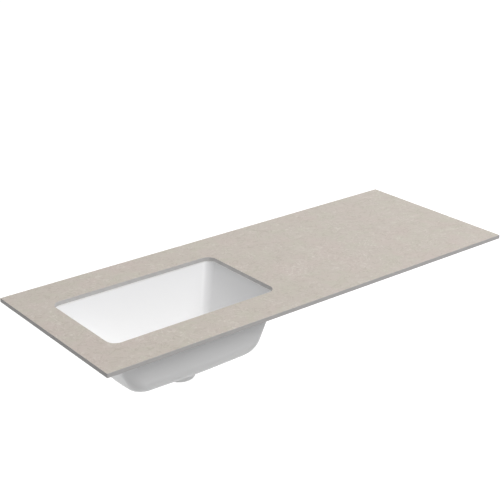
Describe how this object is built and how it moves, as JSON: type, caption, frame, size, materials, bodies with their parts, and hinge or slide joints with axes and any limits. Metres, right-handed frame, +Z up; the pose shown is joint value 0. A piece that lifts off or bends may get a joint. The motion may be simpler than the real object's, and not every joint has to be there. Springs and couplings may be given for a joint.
{
  "type": "vanity sink top",
  "caption": "Thin stone vanity top with a round-cornered cut-out at its left end and a white ceramic basin clipped underneath, with an outlet boss and a click plug.",
  "frame": {"origin": "centre of the slab's underside, where it rests on the cabinet", "axes": "+X along the slab with the basin at the -X end, -Y towards the steep wall of the bowl, +Z up"},
  "size_m": [1.2, 0.46, 0.184],
  "materials": {
    "stone": "honed beige stone, finely mottled",
    "ceramic": "white gloss glaze",
    "sealant": "white silicone",
    "steel": "zinc plated",
    "brass": "bare brass",
    "chrome": "polished",
    "rubber": "black rubber",
    "plastic": "moulded acetal"
  },
  "bodies": {
    "top": {"countertop_slab": "stone", "basin": "ceramic", "sealant_bead": "sealant", "rim_clip_front_left": "steel", "clip_pad_front_left": "rubber", "clip_anchor_front_left": "brass", "clip_stud_front_left": "steel", "clip_washer_front_left": "steel", "clip_nut_front_left": "steel", "rim_clip_front_right": "steel", "clip_pad_front_right": "rubber", "clip_anchor_front_right": "brass", "clip_stud_front_right": "steel", "clip_washer_front_right": "steel", "clip_nut_front_right": "steel", "rim_clip_back_left": "steel", "clip_pad_back_left": "rubber", "clip_anchor_back_left": "brass", "clip_stud_back_left": "steel", "clip_washer_back_left": "steel", "clip_nut_back_left": "steel", "rim_clip_back_right": "steel", "clip_pad_back_right": "rubber", "clip_anchor_back_right": "brass", "clip_stud_back_right": "steel", "clip_washer_back_right": "steel", "clip_nut_back_right": "steel", "waste_body": "chrome", "waste_upper_seal": "rubber", "waste_lower_seal": "rubber", "waste_lock_nut": "brass", "click_housing": "plastic", "click_spring": "steel"},
    "plug": {"plug_cap": "chrome", "plug_gasket": "rubber", "plug_stem": "brass", "plug_plunger": "plastic"},
    "ratchet": {"click_ratchet": "plastic"}
  },
  "joints": [
    {"name": "plug_slide", "type": "slide", "parent": "top", "child": "plug", "axis": [0, 0, 1], "range_m": [0, 0.007], "deforming": ["click_spring"]},
    {"name": "ratchet_turn", "type": "hinge", "parent": "plug", "child": "ratchet", "pos_m": [-0.3, -0.05, -0.1578], "axis": [0, 0, 1], "continuous": true}
  ]
}
